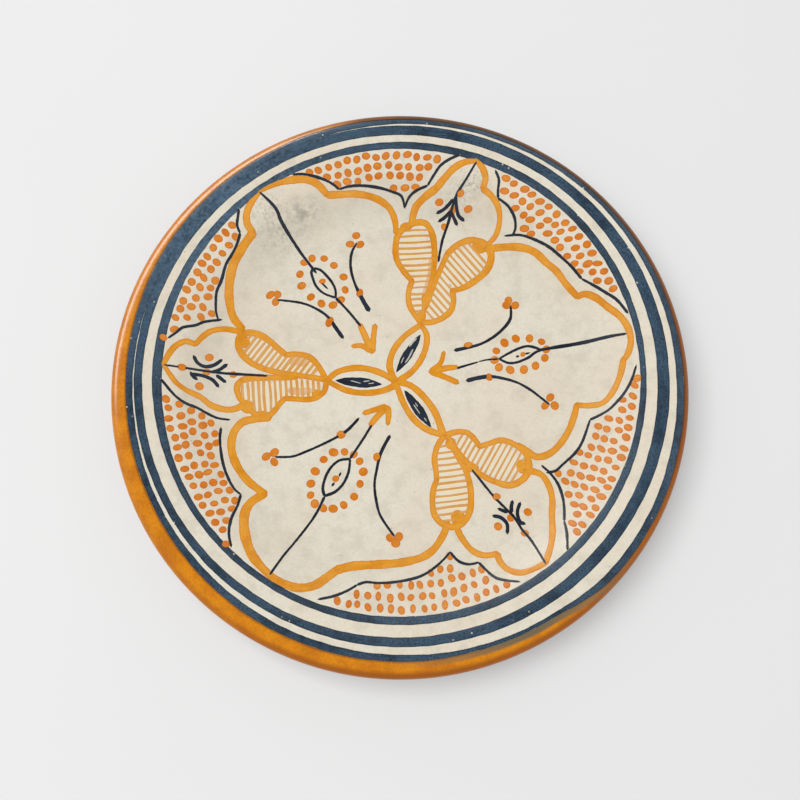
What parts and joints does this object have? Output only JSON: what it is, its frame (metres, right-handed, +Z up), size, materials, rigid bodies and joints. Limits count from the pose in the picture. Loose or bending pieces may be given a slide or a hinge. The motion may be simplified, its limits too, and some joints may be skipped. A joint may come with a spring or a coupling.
{
  "type": "ceramic plate",
  "caption": "Round shallow earthenware dinner plate with a flat well, curved wall, wide rim, turned foot ring and a painted flower inside three bands.",
  "frame": {"origin": "middle of the foot ring, on the surface the plate stands on", "axes": "+Z up out of the face, +Y to the far side of the flower, +X to the right"},
  "size_m": [0.27, 0.27, 0.0305],
  "materials": {
    "red_clay": "bare fired clay, matte",
    "cream_glaze": "gloss, finely speckled",
    "amber_glaze": "gloss, mottled",
    "orange_paint": "gloss, brushed",
    "cobalt_paint": "gloss, brushed"
  },
  "bodies": {
    "root": {"almond_trefoil": "orange_paint", "amber_glaze": "amber_glaze", "arrow_e": "orange_paint", "arrow_nw": "orange_paint", "arrow_sw": "orange_paint", "band_inner": "cobalt_paint", "band_middle": "cobalt_paint", "band_outer": "cobalt_paint", "bud_n": "orange_paint", "bud_se": "orange_paint", "bud_spine_n": "cobalt_paint", "bud_spine_se": "cobalt_paint", "bud_spine_w": "cobalt_paint", "bud_w": "orange_paint", "clay_body": "red_clay", "contour_ese": "cobalt_paint", "contour_n": "cobalt_paint", "contour_ne": "cobalt_paint", "contour_nw": "cobalt_paint", "contour_s": "cobalt_paint", "contour_sw": "cobalt_paint", "eye_e": "cobalt_paint", "eye_nw": "cobalt_paint", "eye_sw": "cobalt_paint", "face_glaze": "cream_glaze", "foot_ring": "red_clay", "leaves_n": "orange_paint", "leaves_se": "orange_paint", "leaves_w": "orange_paint", "petal_e": "orange_paint", "petal_nw": "orange_paint", "petal_sw": "orange_paint", "seed_n": "cobalt_paint", "seed_se": "cobalt_paint", "seed_w": "cobalt_paint", "spine_inner_e": "cobalt_paint", "spine_inner_nw": "cobalt_paint", "spine_inner_sw": "cobalt_paint", "spine_outer_e": "cobalt_paint", "spine_outer_nw": "cobalt_paint", "spine_outer_sw": "cobalt_paint", "stem_e_a": "cobalt_paint", "stem_e_b": "cobalt_paint", "stem_nw_a": "cobalt_paint", "stem_nw_b": "cobalt_paint", "stem_sw_a": "cobalt_paint", "stem_sw_b": "cobalt_paint"}
  },
  "joints": []
}
